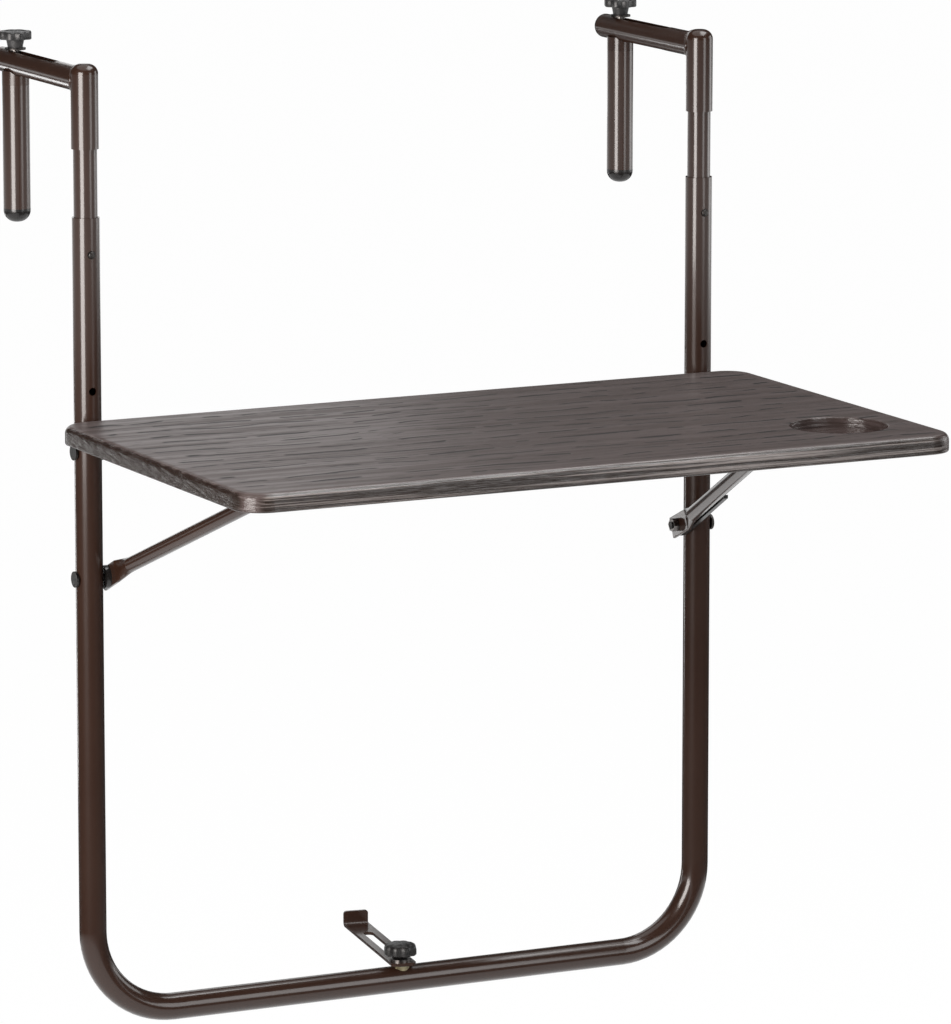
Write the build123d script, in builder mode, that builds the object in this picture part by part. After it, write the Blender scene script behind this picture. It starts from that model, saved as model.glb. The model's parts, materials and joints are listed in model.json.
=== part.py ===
from build123d import *
import os
from math import atan2, cos, hypot, radians, sin

os.makedirs("parts", exist_ok=True)

# Frame: X to the right, Y towards the railing and the balcony's outside, Z up.
# Origin: midway between the posts, level with the underside of the two arms,
# which is where the table hangs on the handrail.

# Clearances
SLIP = 0.3          # radial gap between tubes and pins that slide or turn
PLAY = 0.3          # side gap between flat faces that turn past each other
SNUG = 0.1          # radial gap of a plug or screw pushed into its seat
FOLD_GAP = 1.0      # folded table to the front of the posts

# Frame tube
POST_SPAN = 550.0   # between the two post axes
TUBE_OD = 22.0
TUBE_WALL = 1.2
FRAME_BEND = 70.0   # bend radius of the lower corners, on the tube's axis
MOUTH_Z = -98.5     # open upper end of each post
BASE_Z = -749.5     # axis of the bottom tube

# Hook: sleeve, arm and inner tube
ARM_OD = 20.0
ARM_WALL = 1.5
ARM_BACK = 26.0     # arm beyond the leg's axis
HOOK_RISE = 13.5    # top of the sleeve above the arm's axis
SLEEVE_DOME = 8.0
SLEEVE_END_Z = -44.0
CROWN = 5.0         # solid top of the sleeve
INNER_WALL = 1.2
WELD = 2.2
PLUG_FLANGE = 4.0
PLUG_ROUND = 3.0
PLUG_DEPTH = 12.0

# Height latch
LATCH_Z = -127.5
SPARE_Z = -237.0    # second, empty hole
LATCH_HOLE = 6.4
LATCH_PROUD = 1.6   # button beyond the post
BUTTON_FLANGE = 1.0
BUTTON_LIP = 1.2    # flange beyond the button's shaft
BUTTON_ROUND = 1.5
SPRING_T = 0.6
SPRING_W = 6.6
SPRING_DROP = 26.0  # latch to the centre of the spring's bend
INNER_TAIL = 60.0   # inner tube below the latch

# Clamp leg
LEG_Y = 141.0       # leg axis behind the post axis
LEG_LENGTH = 119.5  # arm underside to the tip of the end cap
LEG_TRAVEL = 85.0
CAP_H = 11.0
CAP_ROUND = 9.5
CAP_PLUG = 10.0
SADDLE_DROP = 8.0   # saddle shoulder below the arm's underside
SADDLE_CHEEK = 3.5  # saddle above the arm's underside
SADDLE_PLUG = 24.0

# Hand screws
SCREW_D = 8.0
NUT_AF = 13.0
NUT_H = 6.5
WASHER_OD = 17.0
WASHER_T = 1.5
KNOB_OD = 28.0
KNOB_HEAD = 6.5     # flat knobs on the hooks
KNOB_STEM = 7.0
KNOB_SOFT = 1.5
BASE_HEAD = 10.0    # deeper, rounder knob on the bottom tube
BASE_STEM = 3.0
BASE_SOFT = 3.0
KNOB_NECK_OD = 15.0
KNOB_FOOT_OD = 12.0
KNOB_LOBES = 8
KNOB_FLUTE = 3.2    # radius of the finger flutes
STUD_GRIP = 10.0    # screw inside the knob
SCREW_POINT = 1.0

# Table top
TABLE_DROP = 259.5  # arm underside to the table's surface
TABLE_W = 616.0
TABLE_D = 363.0
TABLE_T = 15.0
TABLE_CORNER = 24.0
TABLE_BACK_GAP = 1.0
EDGE_ROUND = 6.0
RIM_SOFT = 1.5
SKIRT = 3.2
TOP_T = 4.0
RIB_T = 2.4
RIB_SHY = 1.0       # ribs stop short of the rim's lower edge
RIBS_LONG = 5
RIBS_CROSS = 8
CUP_D = 78.0
CUP_IN_X = 65.0     # cup centre from the right edge
CUP_IN_Y = 79.0     # cup centre from the front edge
CUP_DEPTH = 8.0
CUP_FLOOR = 3.0
CUP_LIP = 1.2       # rounding of the recess at the surface

# Hinge
PIVOT_D = 6.0
PIVOT_HEAD_OD = 13.0
PIVOT_HEAD = 2.2
PIVOT_SOFT = 0.8
PIVOT_NUT_AF = 10.0
PIVOT_NUT_H = 5.0
PIVOT_END = 1.0     # thread beyond the nut
EAR_GAP = 0.6
EAR_T = 2.2
EAR_R = 8.0
BRACKET_W = 30.0
BRACKET_FRONT = 50.0
BRACKET_LONG = 40.0
PAD_EXTRA = 4.0
SCREW_SMALL = 4.0
SCREW_HEAD_OD = 7.6
SCREW_HEAD = 2.2
SCREW_BITE = 8.0
BRACKET_PITCH = 24.0

# Support bail
BAIL_OD = 12.0
BAIL_WALL = 1.2
BAIL_DROP = 130.0   # table surface to the bail's pivot
BAIL_REACH = 238.0  # bail's cross tube ahead of the pivot
BAIL_INSET = 40.0   # each leg leans inwards by this on its way to the cross tube
BAIL_BEND = 36.0
BAIL_SPACER = 4.0
LUG_T = 3.0
LUG_W = 18.0
LUG_END = 11.0      # lug beyond the pivot
LUG_FLAT = 17.0     # flat part towards the tube
LUG_TAPER = 20.0
LUG_SLIT = 0.8      # left open where the tube is pressed flat
LUG_EDGE = 1.6      # folded edge on each side of the slit
TONGUE_TIP = 83.0
TONGUE_TIP_H = 3.0
SPACER_R = 9.5

# Catches under the table
CATCH_X = 150.0
CATCH_W = 26.0
CATCH_PLATE = 2.0
CATCH_WALL = 4.0
CATCH_LIP = 3.0
CATCH_LIP_H = 3.2
CATCH_WALL_H = 14.0
CATCH_LEAD = 2.4    # room ahead of the cross tube
CATCH_EAR = 13.0    # screw flange behind the wall

# Lower spacer that keeps the table off the balusters
STRAP_YAW = 9.5     # degrees, as set in the photo
STRAP_W = 21.0
STRAP_T = 2.5
STRAP_BACK = 136.0  # screw to the flange's outer face
STRAP_FRONT = 13.0
STRAP_BEND = 4.0
FLANGE_H = 13.0
STRAP_SLOT = 104.0
STRAP_CORNER = 4.0
FLANGE_CORNER = 2.5
RIVET_FLANGE_OD = 15.0
RIVET_FLANGE = 0.8
RIVET_BARREL = 11.0
RIVET_DEPTH = 15.0

# Derived positions
POST_X = POST_SPAN / 2
TUBE_R = TUBE_OD / 2
TUBE_BORE = TUBE_R - TUBE_WALL
ARM_R = ARM_OD / 2
ARM_Z = ARM_R
ARM_END_Y = LEG_Y + ARM_BACK
HOOK_TOP_Z = ARM_Z + HOOK_RISE
INNER_R = TUBE_BORE - SLIP
INNER_BORE = INNER_R - INNER_WALL
INNER_TOP_Z = HOOK_TOP_Z - CROWN
INNER_END_Z = LATCH_Z - INNER_TAIL
BUTTON_R = LATCH_HOLE / 2 - SLIP
BUTTON_FLANGE_R = BUTTON_R + BUTTON_LIP
BUTTON_SEAT_Y = -((INNER_BORE - SLIP) ** 2 - BUTTON_FLANGE_R ** 2) ** 0.5
SPRING_FRONT_Y = BUTTON_SEAT_Y + BUTTON_FLANGE + SPRING_T / 2
SPRING_BACK_Y = ((INNER_BORE - SLIP) ** 2 - (SPRING_W / 2) ** 2) ** 0.5 - SPRING_T / 2
SPRING_BEND = (SPRING_BACK_Y - SPRING_FRONT_Y) / 2
SLOT_W = SCREW_D + 2 * SLIP
LEG_TOP_Z = -SADDLE_DROP
LEG_END_Z = -LEG_LENGTH + CAP_H
WASHER_Z = ARM_OD + SLIP
NUT_Z = LEG_TOP_Z - SADDLE_PLUG
TABLE_Z = -TABLE_DROP
UNDER_Z = TABLE_Z - TABLE_T
TABLE_BACK_Y = -TUBE_R - TABLE_BACK_GAP
TABLE_FRONT_Y = TABLE_BACK_Y - TABLE_D
TABLE_MID_Y = (TABLE_BACK_Y + TABLE_FRONT_Y) / 2
RIB_Z = UNDER_Z + RIB_SHY
CUP_X = TABLE_W / 2 - CUP_IN_X
CUP_Y = TABLE_FRONT_Y + CUP_IN_Y
HINGE_Z = UNDER_Z - TUBE_R - FOLD_GAP
PIVOT_HOLE = PIVOT_D + 2 * SLIP
POST_OUT = POST_X + TUBE_R
POST_IN = POST_X - TUBE_R
EAR_OUT = POST_IN - EAR_GAP
EAR_IN = EAR_OUT - EAR_T
BRACKET_Y = TABLE_BACK_Y - BRACKET_FRONT + BRACKET_LONG / 2
BRACKET_X = EAR_OUT - BRACKET_W / 2
BAIL_Z = TABLE_Z - BAIL_DROP
BAIL_R = BAIL_OD / 2
LUG_OUT = EAR_OUT - BAIL_SPACER
LUG_IN = LUG_OUT - LUG_T
BAIL_X = LUG_OUT - BAIL_R
BAR_Z = UNDER_Z - CATCH_PLATE - SLIP - BAIL_R
BAR_Y = -BAIL_REACH
BAIL_LEN = hypot(BAIL_REACH, BAR_Z - BAIL_Z)
BAIL_RISE = atan2(BAR_Z - BAIL_Z, BAIL_REACH)
FORWARD = (0, -cos(BAIL_RISE), sin(BAIL_RISE))
TUBE_START = LUG_FLAT + LUG_TAPER
LEG_RUN = BAIL_LEN - TUBE_START
CATCH_WALL_Y = BAR_Y + BAIL_R + SLIP
CATCH_LIP_Y = BAR_Y - BAIL_R - CATCH_LEAD
CATCH_SCREW_Y = CATCH_WALL_Y + CATCH_WALL + CATCH_EAR / 2
BASE_TOP_Z = BASE_Z + TUBE_R
SEAT_Z = BASE_TOP_Z + RIVET_FLANGE + SNUG
STRAP_Z = SEAT_Z + WASHER_T
TOP_WASHER_Z = STRAP_Z + STRAP_T + SNUG
STRAP_DIR = (sin(radians(STRAP_YAW)), cos(radians(STRAP_YAW)), 0)
STRAP_SIDE = (STRAP_DIR[1], -STRAP_DIR[0], 0)

SIDES = (("left", -1), ("right", 1))
UPRIGHT = (Align.CENTER, Align.CENTER, Align.MIN)
HANGING = (Align.CENTER, Align.CENTER, Align.MAX)
BEHIND = (Align.CENTER, Align.MAX, Align.CENTER)


def keep(built, name):
    """Name a finished sub-part and write its file."""
    built.part.label = name
    export_step(built.part, f"parts/{name}.step")


def across(x, y, z):
    """Plane whose normal runs along +X, with local x = Y and local y = Z."""
    return Plane(origin=(x, y, z), x_dir=(0, 1, 0), z_dir=(1, 0, 0))


def outward(side, x, y, z):
    """Plane whose normal points out of the table's left or right side."""
    return Plane(origin=(side * x, y, z), x_dir=(0, 1, 0), z_dir=(side, 0, 0))


# Main frame: one tube bent into a U, with latch, pivot and rivet nut holes
with BuildPart() as main_frame:
    with BuildLine(Plane.XZ) as frame_path:
        FilletPolyline(
            (-POST_X, MOUTH_Z),
            (-POST_X, BASE_Z),
            (POST_X, BASE_Z),
            (POST_X, MOUTH_Z),
            radius=FRAME_BEND,
        )
    frame_run = frame_path.wires()[0]
    with BuildSketch(Plane(origin=frame_run @ 0, z_dir=frame_run % 0)):
        Circle(TUBE_R)
        Circle(TUBE_BORE, mode=Mode.SUBTRACT)
    sweep()
    for name, side in SIDES:
        for z in (LATCH_Z, SPARE_Z):
            with Locations(Plane(origin=(side * POST_X, 0, z), z_dir=(0, -1, 0))):
                Cylinder(LATCH_HOLE / 2, TUBE_OD, align=UPRIGHT, mode=Mode.SUBTRACT)
        for z in (HINGE_Z, BAIL_Z):
            with Locations(across(side * POST_X, 0, z)):
                Cylinder(PIVOT_HOLE / 2, 2 * TUBE_OD, mode=Mode.SUBTRACT)
    with Locations((0, 0, BASE_Z)):
        Cylinder(RIVET_BARREL / 2 + SNUG, TUBE_OD, align=UPRIGHT, mode=Mode.SUBTRACT)
keep(main_frame, "main_frame")


def knob(name, x, y, z, head, stem, soft):
    """Fluted hand knob whose stem starts at height z, with a blind hole for its screw."""
    with BuildPart() as hand_knob:
        with BuildSketch(Plane.XY.offset(z + stem)):
            with Locations((x, y)):
                Circle(KNOB_OD / 2)
                with PolarLocations(KNOB_OD / 2 + KNOB_FLUTE / 2, KNOB_LOBES):
                    Circle(KNOB_FLUTE, mode=Mode.SUBTRACT)
        extrude(amount=head)
        fillet(hand_knob.faces().sort_by(Axis.Z)[-1].edges(), soft)
        with Locations((x, y, z)):
            Cone(KNOB_FOOT_OD / 2, KNOB_NECK_OD / 2, stem, align=UPRIGHT)
            Cylinder(SCREW_D / 2, STUD_GRIP, align=UPRIGHT, mode=Mode.SUBTRACT)
    keep(hand_knob, name)


def stud(name, x, y, z, tip):
    """Screw moulded into a knob whose stem starts at z, reaching down to tip."""
    with BuildPart() as screw:
        with Locations((x, y, tip)):
            Cylinder(SCREW_D / 2, z + STUD_GRIP - tip, align=UPRIGHT)
        chamfer(screw.edges().group_by(Axis.Z)[0], SCREW_POINT)
    keep(screw, name)


def washer(name, x, y, z):
    """Flat washer lying on height z."""
    with BuildPart() as ring:
        with Locations((x, y, z)):
            Cylinder(WASHER_OD / 2, WASHER_T, align=UPRIGHT)
            Cylinder(SCREW_D / 2 + SLIP, WASHER_T, align=UPRIGHT, mode=Mode.SUBTRACT)
    keep(ring, name)


def pivot_bolt(name, side, z, nut_face):
    """Flat headed bolt through a post, long enough for a nut that starts at nut_face."""
    reach = POST_OUT - nut_face + PIVOT_NUT_H + PIVOT_END
    with BuildPart() as bolt:
        with Locations(outward(side, POST_OUT, 0, z)):
            Cylinder(PIVOT_HEAD_OD / 2, PIVOT_HEAD, align=UPRIGHT)
        fillet(bolt.faces().sort_by(Axis.X)[(side - 1) // 2].edges(), PIVOT_SOFT)
        with Locations(outward(side, POST_OUT, 0, z)):
            Cylinder(PIVOT_D / 2, reach, align=HANGING)
    keep(bolt, name)


def pivot_nut(name, side, z, nut_face):
    """Hexagon nut on a pivot bolt, its outer face at nut_face."""
    with BuildPart() as nut:
        with BuildSketch(outward(side, nut_face, 0, z)):
            RegularPolygon(PIVOT_NUT_AF / 2, 6, major_radius=False)
            Circle(PIVOT_D / 2, mode=Mode.SUBTRACT)
        extrude(amount=-PIVOT_NUT_H)
    keep(nut, name)


for name, side in SIDES:
    post_x = side * POST_X

    # Sleeve: the short upper post with a domed top
    with BuildPart() as hook_post:
        with Locations((post_x, 0, SLEEVE_END_Z)):
            Cylinder(TUBE_R, HOOK_TOP_Z - SLEEVE_END_Z, align=UPRIGHT)
        fillet(hook_post.edges().group_by(Axis.Z)[-1], SLEEVE_DOME)
        with Locations((post_x, 0, SLEEVE_END_Z)):
            Cylinder(INNER_R + SNUG, INNER_TOP_Z - SLEEVE_END_Z, align=UPRIGHT, mode=Mode.SUBTRACT)
    keep(hook_post, f"{name}_hook_post")

    # Arm: coped onto the sleeve and slotted for the hand screw
    with BuildPart() as hook_arm:
        with BuildSketch(Plane(origin=(post_x, 0, ARM_Z), x_dir=(1, 0, 0), z_dir=(0, 1, 0))):
            Circle(ARM_R)
            Circle(ARM_R - ARM_WALL, mode=Mode.SUBTRACT)
        extrude(amount=ARM_END_Y)
        with Locations((post_x, 0, ARM_Z)):
            Cylinder(TUBE_R, 2 * ARM_OD, mode=Mode.SUBTRACT)
        with BuildSketch(Plane.XY.offset(ARM_Z)):
            with Locations((post_x, LEG_Y - LEG_TRAVEL / 2)):
                SlotOverall(LEG_TRAVEL + SLOT_W, SLOT_W, rotation=90)
        extrude(amount=ARM_OD, both=True, mode=Mode.SUBTRACT)
    keep(hook_arm, f"{name}_hook_arm")

    # Weld bead round the arm where it meets the sleeve
    with BuildPart() as hook_weld:
        with Locations(Plane(origin=(post_x, 0, ARM_Z), z_dir=(0, 1, 0))):
            Cylinder(ARM_R + WELD, 2 * TUBE_OD)
        with Locations((post_x, 0, ARM_Z)):
            Cylinder(TUBE_R + WELD, 2 * ARM_OD, mode=Mode.INTERSECT)
            Cylinder(TUBE_R, 2 * ARM_OD, mode=Mode.SUBTRACT)
        with Locations(Plane(origin=(post_x, 0, ARM_Z), z_dir=(0, 1, 0))):
            Cylinder(ARM_R, 2 * TUBE_OD, mode=Mode.SUBTRACT)
        with Locations((post_x, WELD, ARM_Z)):
            Box(2 * TUBE_OD, TUBE_OD, 2 * ARM_OD, align=BEHIND, mode=Mode.SUBTRACT)
    keep(hook_weld, f"{name}_hook_weld")

    # Inner tube: pressed into the sleeve, slides in the frame's post
    with BuildPart() as inner_tube:
        with Locations((post_x, 0, INNER_END_Z)):
            Cylinder(INNER_R, INNER_TOP_Z - INNER_END_Z, align=UPRIGHT)
            Cylinder(INNER_BORE, INNER_TOP_Z - INNER_END_Z, align=UPRIGHT, mode=Mode.SUBTRACT)
        with Locations(Plane(origin=(post_x, 0, LATCH_Z), z_dir=(0, -1, 0))):
            Cylinder(LATCH_HOLE / 2, TUBE_OD, align=UPRIGHT, mode=Mode.SUBTRACT)
    keep(inner_tube, f"{name}_inner_tube")

    # Latch button with a flange that stops it inside the inner tube
    with BuildPart() as snap_button:
        with Locations(Plane(origin=(post_x, BUTTON_SEAT_Y, LATCH_Z), z_dir=(0, -1, 0))):
            Cylinder(BUTTON_R, TUBE_R + LATCH_PROUD + BUTTON_SEAT_Y, align=UPRIGHT)
        fillet(snap_button.edges().group_by(Axis.Y)[0], BUTTON_ROUND)
        with Locations(Plane(origin=(post_x, BUTTON_SEAT_Y, LATCH_Z), z_dir=(0, -1, 0))):
            Cylinder(BUTTON_FLANGE_R, BUTTON_FLANGE, align=HANGING)
    keep(snap_button, f"{name}_snap_button")

    # Latch spring: a strip bent into a U behind the button
    with BuildPart() as snap_spring:
        with BuildLine(across(post_x, 0, LATCH_Z)) as spring_path:
            Line((SPRING_FRONT_Y, BUTTON_FLANGE_R), (SPRING_FRONT_Y, -SPRING_DROP))
            CenterArc(((SPRING_FRONT_Y + SPRING_BACK_Y) / 2, -SPRING_DROP), SPRING_BEND, 180, 180)
            Line((SPRING_BACK_Y, -SPRING_DROP), (SPRING_BACK_Y, BUTTON_FLANGE_R))
        with BuildSketch(Plane(origin=(post_x, SPRING_FRONT_Y, LATCH_Z + BUTTON_FLANGE_R), z_dir=(0, 0, -1))):
            Rectangle(SPRING_W, SPRING_T)
        sweep(path=spring_path.wires()[0])
    keep(snap_spring, f"{name}_snap_spring")

    # Plug in the open end of the arm
    with BuildPart() as arm_plug:
        with Locations(Plane(origin=(post_x, ARM_END_Y, ARM_Z), z_dir=(0, 1, 0))):
            Cylinder(ARM_R, PLUG_FLANGE, align=UPRIGHT)
        fillet(arm_plug.edges().group_by(Axis.Y)[-1], PLUG_ROUND)
        with Locations(Plane(origin=(post_x, ARM_END_Y, ARM_Z), z_dir=(0, 1, 0))):
            Cylinder(ARM_R - ARM_WALL - SNUG, PLUG_DEPTH, align=HANGING)
    keep(arm_plug, f"{name}_arm_plug")

    # Clamp leg that grips the railing from behind
    with BuildPart() as clamp_leg:
        with Locations((post_x, LEG_Y, LEG_END_Z)):
            Cylinder(TUBE_R, LEG_TOP_Z - LEG_END_Z, align=UPRIGHT)
            Cylinder(TUBE_BORE, LEG_TOP_Z - LEG_END_Z, align=UPRIGHT, mode=Mode.SUBTRACT)
    keep(clamp_leg, f"{name}_clamp_leg")

    # Saddle between leg and arm, with a pocket for the nut
    with BuildPart() as leg_saddle:
        with Locations((post_x, LEG_Y, LEG_TOP_Z)):
            Cylinder(TUBE_R, SADDLE_DROP + SADDLE_CHEEK, align=UPRIGHT)
            Cylinder(TUBE_BORE - SNUG, SADDLE_PLUG, align=HANGING)
        with Locations(Plane(origin=(post_x, LEG_Y, ARM_Z), z_dir=(0, 1, 0))):
            Cylinder(ARM_R + SLIP, 2 * TUBE_OD, mode=Mode.SUBTRACT)
        with Locations((post_x, LEG_Y, NUT_Z)):
            Cylinder(SCREW_D / 2 + SLIP, 2 * SADDLE_PLUG, align=UPRIGHT, mode=Mode.SUBTRACT)
        with BuildSketch(Plane.XY.offset(NUT_Z)):
            with Locations((post_x, LEG_Y)):
                RegularPolygon(NUT_AF / 2 + SNUG, 6, major_radius=False)
        extrude(amount=NUT_H, mode=Mode.SUBTRACT)
    keep(leg_saddle, f"{name}_leg_saddle")

    # Nut in the saddle
    with BuildPart() as clamp_nut:
        with BuildSketch(Plane.XY.offset(NUT_Z)):
            with Locations((post_x, LEG_Y)):
                RegularPolygon(NUT_AF / 2, 6, major_radius=False)
                Circle(SCREW_D / 2, mode=Mode.SUBTRACT)
        extrude(amount=NUT_H)
    keep(clamp_nut, f"{name}_clamp_nut")

    # Domed cap on the leg's lower end
    with BuildPart() as leg_cap:
        with Locations((post_x, LEG_Y, LEG_END_Z)):
            Cylinder(TUBE_R, CAP_H, align=HANGING)
        fillet(leg_cap.edges().group_by(Axis.Z)[0], CAP_ROUND)
        with Locations((post_x, LEG_Y, LEG_END_Z)):
            Cylinder(TUBE_BORE - SNUG, CAP_PLUG, align=UPRIGHT)
    keep(leg_cap, f"{name}_leg_cap")

    # Hand screw that clamps the leg to the arm
    washer(f"{name}_clamp_washer", post_x, LEG_Y, WASHER_Z)
    knob(f"{name}_clamp_knob", post_x, LEG_Y, WASHER_Z + WASHER_T, KNOB_HEAD, KNOB_STEM, KNOB_SOFT)
    stud(f"{name}_clamp_screw", post_x, LEG_Y, WASHER_Z + WASHER_T, NUT_Z - SCREW_POINT)

    # Hinge bracket under the table, its ear on the inner side of the post
    with BuildPart() as hinge_bracket:
        with BuildSketch(across(side * EAR_IN, 0, 0)):
            Polygon(
                (BRACKET_Y - BRACKET_LONG / 2, UNDER_Z),
                (BRACKET_Y + BRACKET_LONG / 2, UNDER_Z),
                (0, HINGE_Z + EAR_R),
                (0, HINGE_Z - EAR_R),
                (BRACKET_Y, UNDER_Z - EAR_R),
                (BRACKET_Y - BRACKET_LONG / 2, UNDER_Z - EAR_T),
                align=None,
            )
            with Locations((0, HINGE_Z)):
                Circle(EAR_R)
                Circle(PIVOT_HOLE / 2, mode=Mode.SUBTRACT)
        extrude(amount=side * EAR_T)
        with Locations((side * BRACKET_X, BRACKET_Y, UNDER_Z)):
            Box(BRACKET_W, BRACKET_LONG, EAR_T, align=HANGING)
        with Locations((side * BRACKET_X, BRACKET_Y, UNDER_Z)):
            with GridLocations(0, BRACKET_PITCH, 1, 2):
                Cylinder(SCREW_SMALL / 2 + SNUG, 4 * EAR_T, mode=Mode.SUBTRACT)
    keep(hinge_bracket, f"{name}_hinge_bracket")

    pivot_bolt(f"{name}_hinge_bolt", side, HINGE_Z, EAR_IN - PLAY)
    pivot_nut(f"{name}_hinge_nut", side, HINGE_Z, EAR_IN - PLAY)
    pivot_bolt(f"{name}_bail_bolt", side, BAIL_Z, LUG_IN - PLAY)
    pivot_nut(f"{name}_bail_nut", side, BAIL_Z, LUG_IN - PLAY)


# Table top: a moulded shell with ribs, screw pads and a cup recess
with BuildPart() as table_top:
    with BuildSketch(Plane.XY.offset(UNDER_Z)):
        with Locations((0, TABLE_MID_Y)):
            RectangleRounded(TABLE_W, TABLE_D, TABLE_CORNER)
    extrude(amount=TABLE_T)
    fillet(table_top.faces().sort_by(Axis.Z)[-1].edges(), EDGE_ROUND)
    fillet(table_top.faces().sort_by(Axis.Z)[0].edges(), RIM_SOFT)
    with BuildSketch(Plane.XY.offset(UNDER_Z)):
        with Locations((0, TABLE_MID_Y)):
            RectangleRounded(TABLE_W - 2 * SKIRT, TABLE_D - 2 * SKIRT, TABLE_CORNER - SKIRT)
    extrude(amount=TABLE_T - TOP_T, mode=Mode.SUBTRACT)
    with BuildSketch(Plane.XY.offset(RIB_Z)):
        with Locations((0, TABLE_MID_Y)):
            with GridLocations(0, TABLE_D / (RIBS_LONG + 1), 1, RIBS_LONG):
                Rectangle(TABLE_W - SKIRT, RIB_T)
            with GridLocations(TABLE_W / (RIBS_CROSS + 1), 0, RIBS_CROSS, 1):
                Rectangle(RIB_T, TABLE_D - SKIRT)
    extrude(amount=TABLE_Z - TOP_T / 2 - RIB_Z)
    with BuildSketch(Plane.XY.offset(UNDER_Z)):
        for name, side in SIDES:
            with Locations((side * BRACKET_X, BRACKET_Y)):
                Rectangle(BRACKET_W + PAD_EXTRA, BRACKET_LONG + PAD_EXTRA)
            with Locations((side * CATCH_X, CATCH_SCREW_Y)):
                Rectangle(CATCH_W + PAD_EXTRA, CATCH_EAR + PAD_EXTRA)
    extrude(amount=TABLE_T - TOP_T / 2)
    for name, side in SIDES:
        with Locations((side * BRACKET_X, BRACKET_Y, UNDER_Z)):
            with GridLocations(0, BRACKET_PITCH, 1, 2):
                Cylinder(SCREW_SMALL / 2, SCREW_BITE, align=UPRIGHT, mode=Mode.SUBTRACT)
        with Locations((side * CATCH_X, CATCH_SCREW_Y, UNDER_Z)):
            with GridLocations(CATCH_W / 2, 0, 2, 1):
                Cylinder(SCREW_SMALL / 2, SCREW_BITE, align=UPRIGHT, mode=Mode.SUBTRACT)
    with Locations((CUP_X, CUP_Y, TABLE_Z - TOP_T / 2)):
        Cylinder(CUP_D / 2 + CUP_FLOOR, CUP_DEPTH + CUP_FLOOR - TOP_T / 2, align=HANGING)
    with Locations((CUP_X, CUP_Y, TABLE_Z)):
        Cylinder(CUP_D / 2, CUP_DEPTH, align=HANGING, mode=Mode.SUBTRACT)
    cup_rings = table_top.edges().filter_by(GeomType.CIRCLE).filter_by(lambda ring: ring.radius == CUP_D / 2)
    fillet(cup_rings.sort_by(Axis.Z)[-1], CUP_LIP)
keep(table_top, "table_top")

# Screws that hold the hinge brackets
with BuildPart() as bracket_screws:
    for name, side in SIDES:
        with Locations((side * BRACKET_X, BRACKET_Y, UNDER_Z - EAR_T)):
            with GridLocations(0, BRACKET_PITCH, 1, 2):
                Cylinder(SCREW_SMALL / 2, SCREW_BITE + EAR_T, align=UPRIGHT)
                Cylinder(SCREW_HEAD_OD / 2, SCREW_HEAD, align=HANGING)
keep(bracket_screws, "bracket_screws")

# Catches: a deep wall behind the bail's cross tube, a low lip ahead of it
for name, side in SIDES:
    with BuildPart() as bail_catch:
        with BuildSketch(across(side * CATCH_X, 0, UNDER_Z)):
            Polygon(
                (CATCH_LIP_Y - CATCH_LIP, 0),
                (CATCH_WALL_Y + CATCH_WALL + CATCH_EAR, 0),
                (CATCH_WALL_Y + CATCH_WALL + CATCH_EAR, -CATCH_PLATE),
                (CATCH_WALL_Y + CATCH_WALL, -CATCH_PLATE),
                (CATCH_WALL_Y + CATCH_WALL / 2, -CATCH_WALL_H),
                (CATCH_WALL_Y, -CATCH_WALL_H),
                (CATCH_WALL_Y, -CATCH_PLATE),
                (CATCH_LIP_Y, -CATCH_PLATE),
                (CATCH_LIP_Y - CATCH_LIP / 2, -CATCH_LIP_H),
                (CATCH_LIP_Y - CATCH_LIP, -CATCH_LIP_H),
                align=None,
            )
        extrude(amount=CATCH_W / 2, both=True)
        with Locations((side * CATCH_X, CATCH_SCREW_Y, UNDER_Z)):
            with GridLocations(CATCH_W / 2, 0, 2, 1):
                Cylinder(SCREW_SMALL / 2 + SNUG, 4 * CATCH_PLATE, mode=Mode.SUBTRACT)
    keep(bail_catch, f"{name}_bail_catch")

# Screws that hold the catches
with BuildPart() as catch_screws:
    for name, side in SIDES:
        with Locations((side * CATCH_X, CATCH_SCREW_Y, UNDER_Z - CATCH_PLATE)):
            with GridLocations(CATCH_W / 2, 0, 2, 1):
                Cylinder(SCREW_SMALL / 2, SCREW_BITE + CATCH_PLATE, align=UPRIGHT)
                Cylinder(SCREW_HEAD_OD / 2, SCREW_HEAD, align=HANGING)
keep(catch_screws, "catch_screws")

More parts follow.
